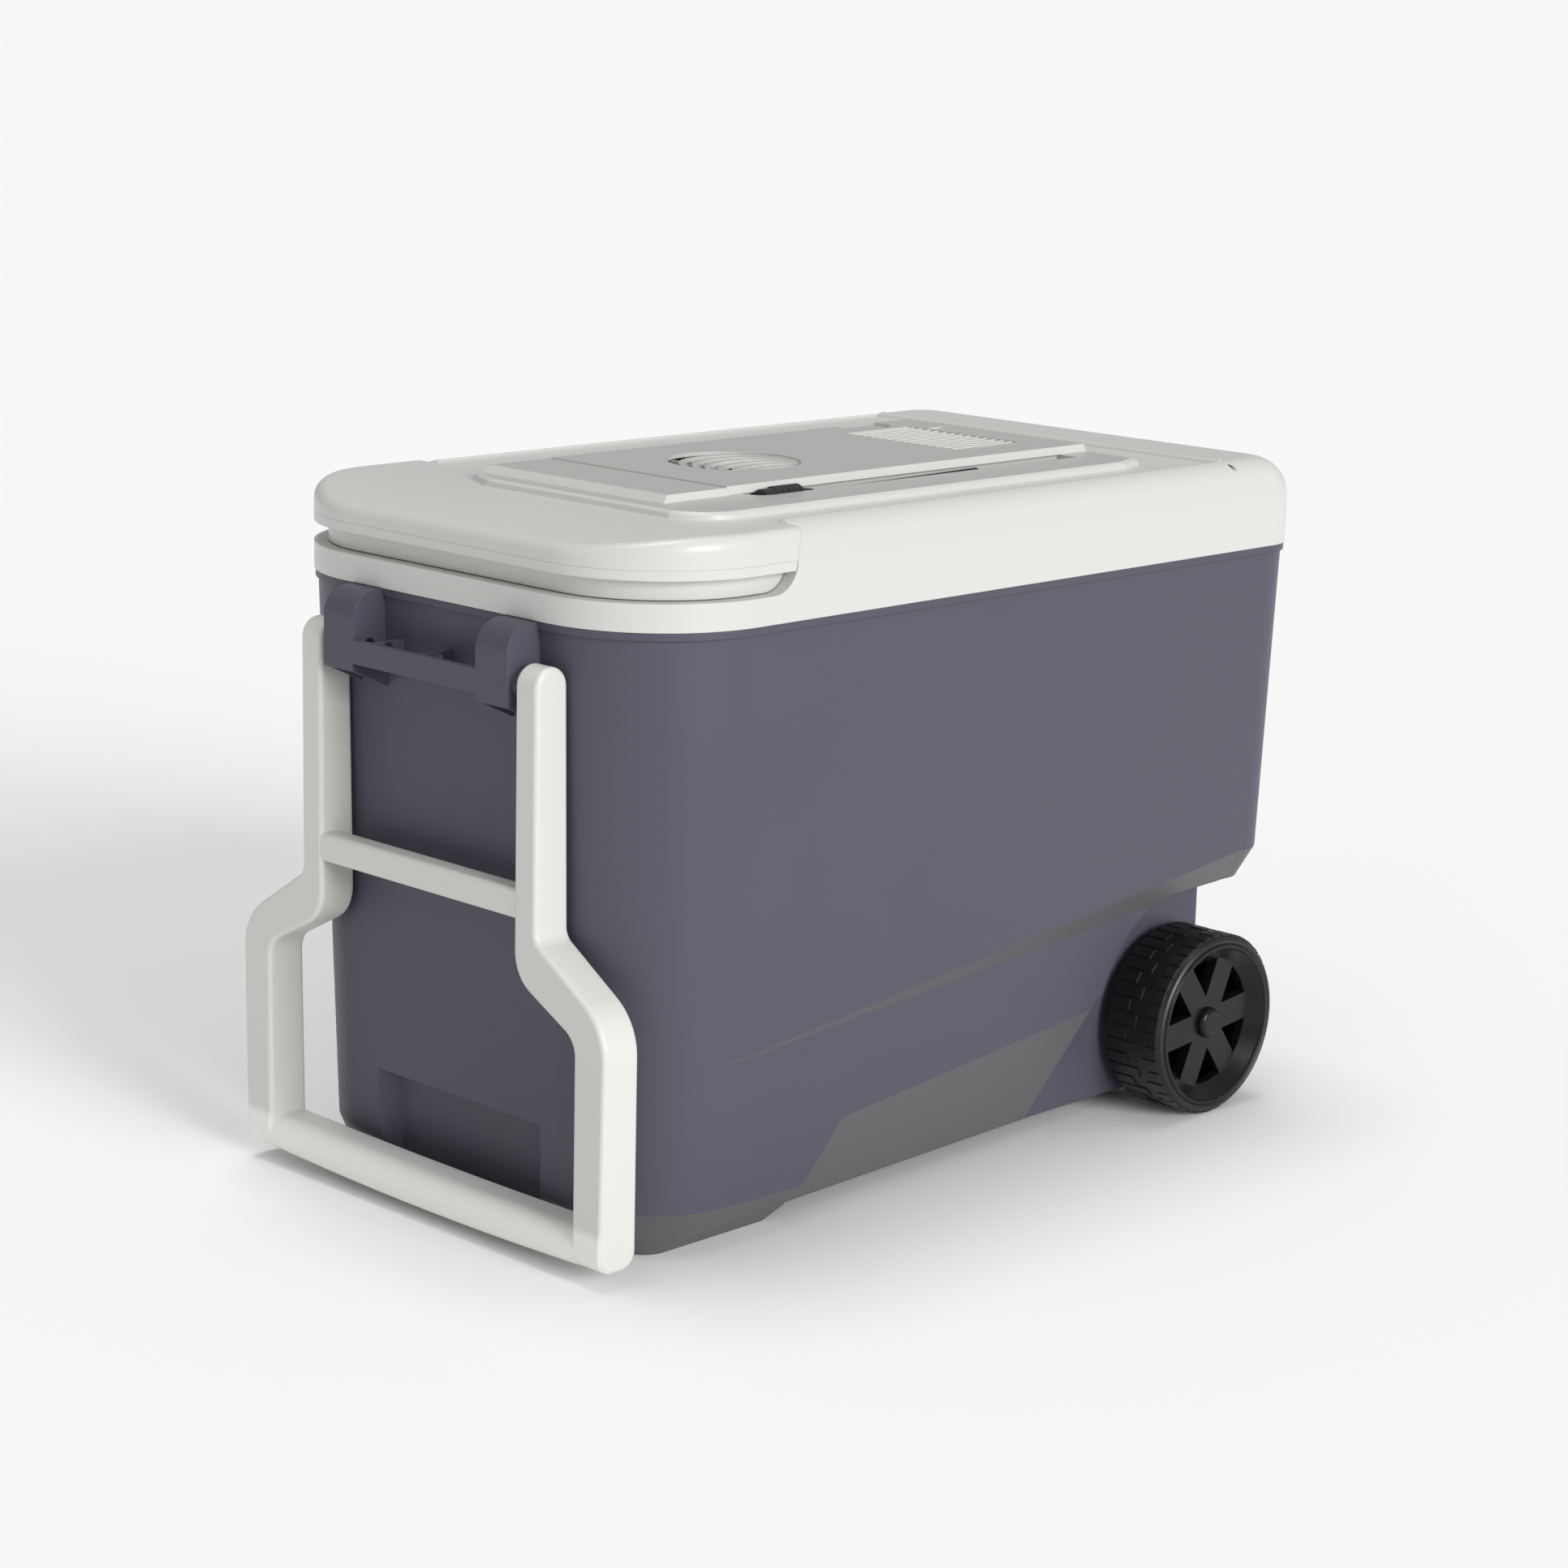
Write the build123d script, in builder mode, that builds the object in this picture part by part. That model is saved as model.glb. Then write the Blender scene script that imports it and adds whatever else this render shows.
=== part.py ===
from build123d import *
import os
from math import atan, cos, sin, sqrt

os.makedirs("parts", exist_ok=True)

# A 40-quart electric cooler on two wheels, in millimetres. X runs from the pull handle to the wheels,
# Y across the cooler and Z up. The origin is on the floor, in the middle of the whole cooler's plan.

# ---------------------------------------------------------------- driving dimensions
collar_length = 616.0
collar_width = 358.0
handle_corner = 86.0          # plan radius of the two corners at the handle end
wheel_corner = 38.0           # plan radius of the two corners at the wheel end
bracket_reach = 23.0          # how far the carry bracket stands out past the collar
wall = 3.0                    # moulded wall of the body and collar
draft = 0.0325                # how far the body's walls lean in for each millimetre down
body_step = 2.5               # the body's wall sits this far inside the collar's face

body_top = 385.0
ledge_z = 402.0               # the ledge that the lid's seal rests on
lid_seam_z = 421.0
lid_top = 440.0
collar_top = 442.0
collar_round = 26.0           # rounding of the collar's top outer edge
deck_z = 444.5                # top of the lid's lower tier
cover_z = 449.5               # top of the lid's upper tier
gap = 0.6                     # between the lid and the collar

tub_x = bracket_reach / 2
handle_x = tub_x - collar_length / 2
wheel_x = tub_x + collar_length / 2
half_width = collar_width / 2
full = 400.0                  # longer than any cut needs

# body
underside_z = 12.0
bevel_height = 28.0
bevel_inset = 22.0
foot_corner = 18.0            # plan radius of the foot's corners on the floor
bead_height = 5.0
foot_end = handle_x + 139     # end of the foot's flat underside
foot_rise = 11.0              # length of the slope from the foot up to the underside
band_start = handle_x + 58    # tip of the slanting band on the body's sides
band_end = wheel_x - 46       # where the band turns onto the wheel end's corner
band_tip_z = 116.0
band_high_z = 172.0
band_low_z = 150.0
band_inset = 11.5
core_end = wheel_x - 52       # end of the narrow core between the wheels
core_half = 140.0

# wheels
axle_x = wheel_x - 92.5
axle_radius = 6.0
running = 0.05                # radial clearance of a shaft in its bore
wheel_radius = 62.5
axle_z = wheel_radius
wheel_width = 47.0
wheel_inner = 147.0           # distance from the centre plane to the wheel's inner face
arch_radius = 84.5
arch_z = 65.3

# cavity
cavity_front = handle_x + 44
cavity_back = wheel_x - 94
cavity_half = 136.0
cavity_floor = 48.0
cavity_step_x = handle_x + 426
cavity_step_z = 165.0
cavity_draft = 10.0 / (ledge_z - cavity_floor)
liner_wall = 2.5

# lid
pocket_half = 155.3           # half the width between the collar's tall sides
pocket_back = wheel_x - 71.6
hinge_x = wheel_x - 69.5
hinge_z = 438.5
barrel_radius = 4.5
pin_radius = 2.0
swoop_x = handle_x + 118      # foot of the S-curve where the collar rises beside the lid
swoop_run = 3.5
swoop_radius = 19.0
skin = 2.5                    # moulded wall of the lid

# thermoelectric unit in the lid
unit_x = tub_x - 66.0
duct_front, duct_back, duct_half = tub_x - 140.0, tub_x + 165.0, 72.0
duct_floor = 407.0
tray_screw_places = [(unit_x + a * 54, b * 44) for a in (-1, 1) for b in (-1, 1)]
channel_front, channel_back = tub_x - 140.0, tub_x + 159.0
channel_near, channel_far = -96.5, -79.5
channel_floor = 411.5
gland_y, gland_z = -91.5, 416.5
cord_radius = 2.0
lane_y = -94.4                # the lead's first lane in its channel
lane_pitch = 4.2
lane_low, lane_high = 414.2, 430.2
lane_front, lane_back = tub_x - 125.0, tub_x + 128.5
plug_axis_y, plug_axis_z = -89.0, 440.8
plug_radius = 7.4

# carry bracket and pull handle
lobe_inner, lobe_outer = 56.8, 84.3
bracket_x = handle_x - bracket_reach
lobe_bottom, lobe_top = 336.5, 384.5
lobe_slope = 20.0             # how far the lobes' open undersides drop towards the body
lobe_round = 17.0
bar_low, bar_high = 341.0, 356.0
handle_front = handle_x - 21.5
handle_round = 12.1           # round tops of the legs, about the hinge
handle_lean = 0.015           # the legs deepen downwards, as the body's end leans in
pivot_x = handle_front + handle_round
pivot_z = 350.4
leg_inner, leg_outer = 90.0, 109.2
handle_pin_radius = 5.0
bracket_hole_radius = 2.0
bracket_screw_radius = 1.97

parts = {}


def finish(node, part):
    """Label a finished piece and write it to its own file."""
    part.label = node
    parts[node] = part
    export_step(part, f"parts/{node}.step")


def wall_inset(z):
    """How far the body's outer wall sits inside the collar's face at height z."""
    return body_step + (body_top - z) * draft


def tub_plan(inset):
    """Plan outline shared by the body, the collar and the lid, set in from the collar's face."""
    with Locations((tub_x, 0)):
        Rectangle(collar_length - 2 * inset, collar_width - 2 * inset)
    fillet(vertices().sort_by(Axis.X)[:2], handle_corner - inset)
    fillet(vertices().sort_by(Axis.X)[-2:], wheel_corner - inset)


def block(x_range, y_range, z_range, mode=Mode.ADD):
    """A box between three pairs of limits."""
    middle = [(low + high) / 2 for low, high in (x_range, y_range, z_range)]
    sizes = [high - low for low, high in (x_range, y_range, z_range)]
    with Locations(tuple(middle)):
        Box(*sizes, mode=mode)


def rod(x, z, y_range, radius, mode=Mode.ADD):
    """A cylinder along Y."""
    with Locations((x, sum(y_range) / 2, z)):
        Cylinder(radius, y_range[1] - y_range[0], rotation=(90, 0, 0), mode=mode)


def bolt(x_range, y, z, radius, mode=Mode.ADD):
    """A cylinder along X."""
    with Locations((sum(x_range) / 2, y, z)):
        Cylinder(radius, x_range[1] - x_range[0], rotation=(0, 90, 0), mode=mode)


def post(x, y, z_range, radius, mode=Mode.ADD):
    """A cylinder along Z."""
    with Locations((x, y, sum(z_range) / 2)):
        Cylinder(radius, z_range[1] - z_range[0], mode=mode)


# ---------------------------------------------------------------- body shell
bracket_screw_places = [(side * 69.0, z) for side in (-1, 1) for z in (365.0, 376.0)]
boss_end = handle_x + 20


def bracket_bosses(radius, start, end, mode):
    """Blind bosses behind the handle end's wall, or the holes in them."""
    for y, z in bracket_screw_places:
        bolt((start, end), y, z, radius, mode)


def bead(mode):
    """The raised bead round the top of the body."""
    with BuildSketch(Plane.XY.offset(body_top - bead_height)) as outline:
        tub_plan(0.8)
    extrude(outline.sketch, amount=bead_height, mode=mode)


def tub_hull(bottom, top, extra=0.0, mode=Mode.ADD):
    """The drafted tub between two heights, set in by extra from its outer wall."""
    with BuildSketch(Plane.XY.offset(bottom)) as low:
        tub_plan(wall_inset(bottom) + extra)
    with BuildSketch(Plane.XY.offset(top)) as high:
        tub_plan(wall_inset(top) + extra)
    loft([low.sketch, high.sketch], mode=mode)


def foam_space(mode):
    """The room inside the body's outer wall, which the foam and the liner fill."""
    shoulder = band_high_z + 6
    tub_hull(shoulder, body_top, wall, mode)
    front = handle_x + 30
    waist = tub_x + 76
    with BuildSketch(Plane.XY.offset(underside_z + wall)) as base:
        with Locations(((front + waist) / 2, 0)):
            Rectangle(waist - front, 2 * (core_half + 1))
        fillet(vertices().sort_by(Axis.X)[:2], 50)
    extrude(base.sketch, amount=shoulder - underside_z - wall, mode=mode)
    block((waist - 1, core_end - wall), (wall - core_half, core_half - wall), (underside_z + wall, shoulder), mode)


with BuildPart() as band_cutter:
    # takes the sides in below a band that starts as a point and widens towards the wheels
    for x, share in ((band_start, 0.01), (band_end, 1.0)):
        high = band_tip_z + (band_high_z - band_tip_z) * share
        low = band_tip_z + (band_low_z - band_tip_z) * share
        with BuildSketch(Plane.YZ.offset(x)):
            with BuildLine():
                Polyline(
                    (wall_inset(high) - half_width, high),
                    (wall_inset(low) + band_inset * share - half_width, low),
                    (wall_inset(0) + band_inset * share - half_width, -1),
                    (-half_width - 5, -1),
                    (-half_width - 5, high),
                    close=True,
                )
            make_face()
    loft(ruled=True)
    mirror(about=Plane.XZ)

with BuildPart() as tail_cutter:
    # carries the same band round the wheel end, and opens the space under it
    block((band_end, wheel_x + 5), (-half_width - 5, half_width + 5), (band_low_z, band_high_z))
    with BuildSketch(Plane.XY.offset(band_low_z)):
        tub_plan(wall_inset(band_low_z) + band_inset)
    with BuildSketch(Plane.XY.offset(band_high_z)):
        tub_plan(wall_inset(band_high_z))
    loft(mode=Mode.SUBTRACT)
    block((core_end, wheel_x + 5), (-half_width - 5, half_width + 5), (-1, band_low_z))

sill_top_front = (handle_x + 187, 62.6)
sill_top_back = (handle_x + 439, 83.6)
sill_depth = 14.0
with BuildPart() as sill_cutter:
    # the lower side panel, which leans in from a line on the wall down to the underside
    with BuildSketch(Plane.XZ.offset(core_half - 6)):
        with BuildLine():
            FilletPolyline(
                sill_top_front,
                sill_top_back,
                (tub_x + 80, underside_z - 5),
                (foot_end + foot_rise, underside_z - 5),
                (foot_end + 1, 20.5),
                (foot_end + 16, 28),
                radius=(14, 2, 2, 2, 4, 8),
                close=True,
            )
        make_face()
    extrude(amount=60)
    upper_y = wall_inset(sill_top_front[1]) + 2.8 - half_width
    lower_y = wall_inset(sill_top_back[1]) + 8.6 - half_width
    start = Vector(sill_top_front[0], upper_y, sill_top_front[1])
    along = Vector(sill_top_back[0], lower_y, sill_top_back[1]) - start
    down = Vector(0, sill_depth, underside_z - sill_top_front[1])
    split(bisect_by=Plane(origin=start, x_dir=along, z_dir=along.cross(down)), keep=Keep.BOTTOM)
    mirror(about=Plane.XZ)

with BuildPart() as body_shell:
    with BuildSketch(Plane.XY):
        foot_inset = wall_inset(0) + bevel_inset
        with Locations((tub_x, 0)):
            Rectangle(collar_length - 2 * foot_inset, collar_width - 2 * foot_inset)
        fillet(vertices(), foot_corner)
    with BuildSketch(Plane.XY.offset(bevel_height)):
        tub_plan(wall_inset(bevel_height))
    loft()
    tub_hull(bevel_height, body_top)
    bead(Mode.ADD)
    add(band_cutter.part, mode=Mode.SUBTRACT)
    add(tail_cutter.part, mode=Mode.SUBTRACT)
    add(sill_cutter.part, mode=Mode.SUBTRACT)
    # underside, raised behind the foot
    with BuildSketch(Plane.XZ):
        with BuildLine():
            Polyline(
                (foot_end, 0),
                (foot_end + foot_rise, underside_z),
                (wheel_x, underside_z),
                (wheel_x, -5),
                (foot_end, -5),
                close=True,
            )
        make_face()
    extrude(amount=full, both=True, mode=Mode.SUBTRACT)
    # wheel wells: a round arch, open to the floor and to the wheel end
    for side in (-1, 1):
        with BuildSketch(Plane.XZ.offset(-side * core_half)):
            with Locations((axle_x, arch_z)):
                Circle(arch_radius)
            with BuildLine():
                Polyline(
                    (tub_x + 80, underside_z - 15),
                    (tub_x + 80, underside_z),
                    (tub_x + 124, 84),
                    (axle_x, arch_z + arch_radius),
                    (wheel_x + 5, arch_z + arch_radius),
                    (wheel_x + 5, underside_z - 15),
                    close=True,
                )
            make_face()
        extrude(amount=-side * 60, mode=Mode.SUBTRACT)
    # hand recess at the foot of the handle end
    recess_face = handle_x + wall_inset(73) - 2
    with BuildSketch(Plane.YZ.offset(recess_face)):
        with Locations((0, 34)):
            Rectangle(158, 80)
    with BuildSketch(Plane.YZ.offset(recess_face + 14)):
        with Locations((0, 30)):
            Rectangle(132, 78)
    loft(mode=Mode.SUBTRACT)
    foam_space(Mode.SUBTRACT)
    # tube that carries the axle across the core
    rod(axle_x, axle_z, (-core_half, core_half), 10)
    rod(axle_x, axle_z, (-core_half, core_half), axle_radius, Mode.SUBTRACT)
    bracket_bosses(5, handle_x + 5, boss_end, Mode.ADD)
    bracket_bosses(bracket_hole_radius, handle_x, boss_end - 1.5, Mode.SUBTRACT)
finish("body_shell", body_shell.part)


# ---------------------------------------------------------------- liner and insulation
def cavity(grow, top, mode):
    """The cold space, or with grow the liner's outer face around it."""
    def plan(front, back, z):
        lean = (body_top - z) * cavity_draft
        with BuildSketch(Plane.XY.offset(z)) as outline:
            with Locations(((front + back) / 2, 0)):
                Rectangle(back - front + 2 * (grow - lean), 2 * (cavity_half + grow - lean))
            fillet(vertices().sort_by(Axis.X)[:2], 42 + grow)
            fillet(vertices().sort_by(Axis.X)[-2:], 20 + grow)
        return outline.sketch

    rim = plan(cavity_front, cavity_back, body_top)
    deep = plan(cavity_front, cavity_step_x, cavity_floor - grow)
    loft([deep, plan(cavity_front, cavity_step_x, body_top)], mode=mode)
    loft([plan(cavity_front, cavity_back, cavity_step_z - grow), rim], mode=mode)
    extrude(rim, amount=top - body_top, mode=mode)


with BuildPart() as inner_liner:
    cavity(liner_wall, ledge_z, Mode.ADD)
    cavity(0, ledge_z + 1, Mode.SUBTRACT)
finish("inner_liner", inner_liner.part)

with BuildPart() as body_foam:
    foam_space(Mode.ADD)
    rod(axle_x, axle_z, (-core_half, core_half), 10, Mode.SUBTRACT)
    bracket_bosses(5, handle_x + 5, boss_end, Mode.SUBTRACT)
    cavity(liner_wall, ledge_z, Mode.SUBTRACT)
finish("body_foam", body_foam.part)


# ---------------------------------------------------------------- collar
def swoop(shift_x, shift_z, below):
    """Face above or below the S-curve that parts the lid's sides from the collar's tall sides."""
    foot = (swoop_x + shift_x, ledge_z + shift_z)
    head = (foot[0] + swoop_run, collar_top + 3 + shift_z)
    edge_z = ledge_z - 40 if below else collar_top + 40
    with BuildSketch(Plane.XZ) as side:
        with BuildLine():
            path = FilletPolyline(
                (handle_x - 60, foot[1]), foot, head, (wheel_x + 60, head[1]), radius=swoop_radius
            )
            Polyline(path @ 1, (wheel_x + 60, edge_z), (handle_x - 60, edge_z), path @ 0)
        make_face()
    return side.sketch


def collar_mass(inset):
    """The collar's outer body, or with inset the hollow inside its moulded wall."""
    with BuildSketch(Plane.XY.offset(body_top)) as base:
        tub_plan(inset)
    extrude(base.sketch, amount=collar_top - inset - body_top)
    fillet(edges().group_by(Axis.Z)[-1], collar_round - inset)
    extrude(swoop(inset, -inset, below=False), amount=full, both=True, mode=Mode.SUBTRACT)
    half = pocket_half + inset
    block((handle_x - 5, pocket_back + inset), (-half, half), (ledge_z - inset, collar_top + 5), Mode.SUBTRACT)
    rod(hinge_x, hinge_z, (-half, half), barrel_radius + 0.5 + inset, Mode.SUBTRACT)
    cavity(liner_wall + inset, collar_top, Mode.SUBTRACT)


with BuildPart() as collar_hollow:
    collar_mass(wall)

with BuildPart() as trim_collar:
    collar_mass(0)
    add(collar_hollow.part, mode=Mode.SUBTRACT)
    rod(hinge_x, hinge_z, (-half_width + 6, half_width - 6), pin_radius, Mode.SUBTRACT)
finish("trim_collar", trim_collar.part)

with BuildPart() as hinge_pin:
    rod(hinge_x, hinge_z, (-pocket_half - wall, pocket_half + wall), pin_radius)
finish("hinge_pin", hinge_pin.part)


# ---------------------------------------------------------------- lid
def duct(grow, low, high, mode):
    """The duct in the lid that holds the warm side of the cooling unit."""
    block((duct_front - grow, duct_back + grow), (-duct_half - grow, duct_half + grow), (low, high), mode)


def channel(grow, low, high, mode):
    """The long trough in the lid that holds the lead, round at its near corner."""
    middle = ((channel_front + channel_back) / 2, (channel_near + channel_far) / 2)
    with BuildSketch(Plane.XY.offset(low)) as trough:
        with Locations(middle):
            Rectangle(channel_back - channel_front + 2 * grow, channel_far - channel_near + 2 * grow)
        fillet(vertices().sort_by(Axis.X)[:2].sort_by(Axis.Y)[:1], 14 + grow)
    extrude(trough.sketch, amount=high - low, mode=mode)


lid_screw_places = [
    (x, side * y)
    for x, y in ((cavity_front + 22, 104), (tub_x, 117), (cavity_back - 14, 108))
    for side in (-1, 1)
]


def lid_posts(low, high, radius, mode):
    """A round post, or hole, at each of the lid's screws."""
    for x, y in lid_screw_places:
        post(x, y, (low, high), radius, mode)


def tray_holes(mode):
    """Holes for the screws that hold the cold fan's cover up against the lid."""
    for x, y in tray_screw_places:
        post(x, y, (plug_z, plug_z + 5), 1.5, mode)


def pocket_cutter(inset):
    """What the collar's tall sides and wheel end take from the lid's outline."""
    clear = gap + inset
    edge = pocket_half - clear
    profile = swoop(-clear, clear, below=True)
    with BuildPart() as cutter:
        extrude(profile, amount=full, both=True)
        block((handle_x - 60, pocket_back - clear), (-edge, edge), (0, 2 * full), Mode.SUBTRACT)
        block((pocket_back - clear, wheel_x + 60), (-full, full), (ledge_z - 40, 2 * full))
    return cutter.part


outside_lid = pocket_cutter(0)
outside_lid_room = pocket_cutter(skin)
crown_start = tub_x - 246.0
crown_drop = 9.0
lid_edge_round = 8.0


def lid_dome(inset, cutter):
    """The lid above its seam, or with inset the room inside its moulded wall."""
    with BuildSketch(Plane.XY.offset(lid_seam_z)) as base:
        tub_plan(inset)
    extrude(base.sketch, amount=lid_top - inset - lid_seam_z)
    high = lid_top - inset
    with BuildSketch(Plane.XZ) as crown:
        # the top rolls down towards the handle end
        with BuildLine():
            roll = TangentArc((crown_start, high), (handle_x, high - crown_drop), tangent=(-1, 0))
            Polyline(roll @ 1, (handle_x, high + 5), (crown_start, high + 5), roll @ 0)
        make_face()
    extrude(crown.sketch, amount=full, both=True, mode=Mode.SUBTRACT)
    fillet(edges().filter_by(Axis.X).group_by(Axis.Z)[-1], lid_edge_round - inset)
    add(cutter, mode=Mode.SUBTRACT)


# the lower tier: cut corners at the handle end, and a wider part beside the lead
deck_front = tub_x - 224.0
deck_back = tub_x + 190.0
deck_near, deck_far = -133.0, 88.0
cover_half = 82.5
cover_front = tub_x - 150.8
cover_back = tub_x + 186.0
bank_front = tub_x - 207.0     # the sloping front of the upper tier
bank_run = 6.0


def deck_plan(z, inset):
    """The lower tier's outline at one height."""
    near, far = deck_near + inset, deck_far - inset
    with BuildSketch(Plane.XY.offset(z)) as outline:
        with BuildLine():
            flare = Spline(
                (deck_front + inset, deck_near + 28),
                (deck_front + 34, near),
                tangents=((0.3, -1), (1, -0.05)),
            )
            Polyline(
                flare @ 1,
                (deck_back - 22 - inset, near),
                (deck_back - inset, near + 8),
                (deck_back - inset, far - 12),
                (deck_back - 12 - inset, far),
                (deck_front + 14 + inset, far),
                (deck_front + inset, far - 28),
                flare @ 0,
            )
        make_face()
    return outline.sketch


def tier(x_range, half, z_range, front_run, side_run):
    """A raised plate with sloping sides."""
    with BuildSketch(Plane.XY.offset(z_range[0])) as low:
        with Locations((sum(x_range) / 2, 0)):
            Rectangle(x_range[1] - x_range[0], 2 * half)
    with BuildSketch(Plane.XY.offset(z_range[1])) as high:
        with Locations((sum(x_range) / 2 + front_run / 2, 0)):
            Rectangle(x_range[1] - x_range[0] - front_run, 2 * (half - side_run))
    loft([low.sketch, high.sketch])


with BuildPart() as lid_room:
    lid_dome(skin, outside_lid_room)
    extrude(deck_plan(lid_top - skin - 0.1, 6), amount=deck_z - lid_top)

with BuildPart() as lid_shell:
    lid_dome(0, outside_lid)
    loft([deck_plan(lid_top, 0), deck_plan(deck_z - 1.5, 1.2)])
    loft([deck_plan(deck_z - 1.5, 1.2), deck_plan(deck_z, 4.0)])
    tier((bank_front, cover_front - 0.4), cover_half + 1, (deck_z, cover_z - 0.6), bank_run, 3)
    add(lid_room.part, mode=Mode.SUBTRACT)
    duct(skin, duct_floor - skin, deck_z - 1, Mode.ADD)
    channel(2, channel_floor - 2, deck_z - 1, Mode.ADD)
    lid_posts(lid_seam_z - 20, lid_top - 1, 5, Mode.ADD)
    # the near middle post carries on up to the lower tier
    post(tub_x, -117, (lid_top - 2, deck_z - 1), 5)
    duct(0, duct_floor, cover_z + 5, Mode.SUBTRACT)
    channel(0, channel_floor, cover_z + 5, Mode.SUBTRACT)
    lid_posts(lid_seam_z - 21, lid_top - 8, 1.9, Mode.SUBTRACT)
    block((unit_x - 22, unit_x + 22), (-22, 22), (duct_floor - 5, duct_floor + 1), Mode.SUBTRACT)
    bolt((channel_back - 1, channel_back + 3), gland_y, gland_z, 3.5, Mode.SUBTRACT)
    # barrel of the hinge, along the whole back edge
    rod(hinge_x, hinge_z, (gap - pocket_half, pocket_half - gap), barrel_radius)
    rod(hinge_x, hinge_z, (-pocket_half, pocket_half), pin_radius + running, Mode.SUBTRACT)
finish("lid_shell", lid_shell.part)

# lid pan, the lower half of the lid
grip_inset = 9.0               # finger groove under the lid's rim
rim_z = 415.0
pan_low = 405.0                # underside over the ledge
plug_z = 392.0                 # underside of the plug that drops into the cavity
plug_gap = 3.0


def cavity_plan(z, grow):
    """The mouth of the cold space, drawn larger or smaller."""
    with BuildSketch(Plane.XY.offset(z)) as outline:
        with Locations(((cavity_front + cavity_back) / 2, 0)):
            Rectangle(cavity_back - cavity_front + 2 * grow, 2 * (cavity_half + grow))
        fillet(vertices().sort_by(Axis.X)[:2], 42 + grow)
        fillet(vertices().sort_by(Axis.X)[-2:], 20 + grow)
    return outline.sketch


def pan_room(mode):
    """The room inside the pan, up to the lid's seam."""
    extrude(cavity_plan(plug_z + skin, -plug_gap - skin), amount=pan_low - plug_z, mode=mode)
    add(pan_upper_room.part, mode=mode)


with BuildPart() as pan_upper_room:
    with BuildSketch(Plane.XY.offset(pan_low + skin)):
        tub_plan(grip_inset + skin)
    extrude(amount=lid_seam_z - pan_low - skin)
    add(outside_lid_room, mode=Mode.SUBTRACT)

with BuildPart() as lid_pan:
    with BuildSketch(Plane.XY.offset(rim_z)):
        tub_plan(0)
    extrude(amount=lid_seam_z - rim_z)
    with BuildSketch(Plane.XY.offset(ledge_z + gap)):
        tub_plan(grip_inset)
    extrude(amount=rim_z - ledge_z - gap)
    with BuildSketch(Plane.XY.offset(ledge_z + gap)):
        tub_plan(grip_inset + skin)
    extrude(amount=pan_low - ledge_z - gap, mode=Mode.SUBTRACT)
    add(outside_lid, mode=Mode.SUBTRACT)
    extrude(cavity_plan(plug_z, -plug_gap), amount=pan_low - plug_z)
    pan_room(Mode.SUBTRACT)
    block((unit_x - 23, unit_x + 23), (-23, 23), (plug_z - 1, plug_z + 5), Mode.SUBTRACT)
    lid_posts(plug_z - 1, plug_z + 5, 1.9, Mode.SUBTRACT)
    tray_holes(Mode.SUBTRACT)
finish("lid_pan", lid_pan.part)

with BuildPart() as lid_foam:
    pan_room(Mode.ADD)
    add(lid_room.part)
    duct(skin, duct_floor - skin, cover_z, Mode.SUBTRACT)
    channel(2, channel_floor - 2, cover_z, Mode.SUBTRACT)
    lid_posts(plug_z, cover_z, 5, Mode.SUBTRACT)
    block((unit_x - 23, unit_x + 23), (-23, 23), (plug_z, duct_floor), Mode.SUBTRACT)
    rod(hinge_x, hinge_z, (-pocket_half, pocket_half), barrel_radius, Mode.SUBTRACT)
    tray_holes(Mode.SUBTRACT)
finish("lid_foam", lid_foam.part)

with BuildPart() as lid_gasket:
    extrude(cavity_plan(ledge_z + 0.3, liner_wall + 13.5), amount=pan_low - ledge_z - 0.3)
    extrude(cavity_plan(ledge_z + 0.3, liner_wall + 4.5), amount=pan_low - ledge_z - 0.3, mode=Mode.SUBTRACT)
finish("lid_gasket", lid_gasket.part)

with BuildPart() as lid_screws:
    lid_posts(plug_z, lid_top - 10, 1.9, Mode.ADD)
    lid_posts(plug_z - 2.2, plug_z, 4, Mode.ADD)
finish("lid_screws", lid_screws.part)

# ---------------------------------------------------------------- vent cover
cover_skin = 2.5
grille_radius = 43.0
slat_count = 7
slat_pitch = 12.0
louvre_front, louvre_back, louvre_half = tub_x + 92.0, tub_x + 155.0, 52.0
louvre_count = 14

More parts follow.
